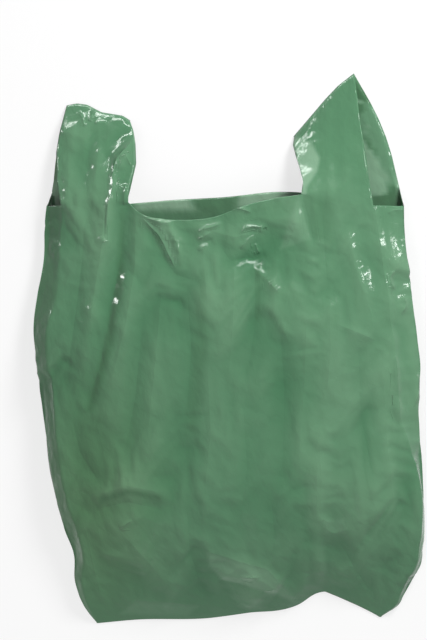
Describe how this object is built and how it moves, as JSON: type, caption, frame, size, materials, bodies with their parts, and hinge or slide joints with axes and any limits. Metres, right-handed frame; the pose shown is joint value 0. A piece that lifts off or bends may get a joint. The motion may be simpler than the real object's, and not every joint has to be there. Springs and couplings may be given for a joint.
{
  "type": "plastic carrier bag",
  "caption": "Large gusseted vest carrier bag of thin green film with cut-out loop handles and a sealed bottom, empty and lying on its back, for carrying goods.",
  "frame": {"origin": "on the surface that the bag lies on, under the centre of its bounding box", "axes": "+X to the right of the front panel, +Y from the bottom seal to the handles, +Z out of the front panel, away from the surface that the back panel lies on"},
  "size_m": [0.567, 0.8048, 0.0858],
  "materials": {
    "film": "glossy, slightly see-through green film with fine crinkles"
  },
  "bodies": {
    "root": {"bag": "film"}
  },
  "joints": []
}
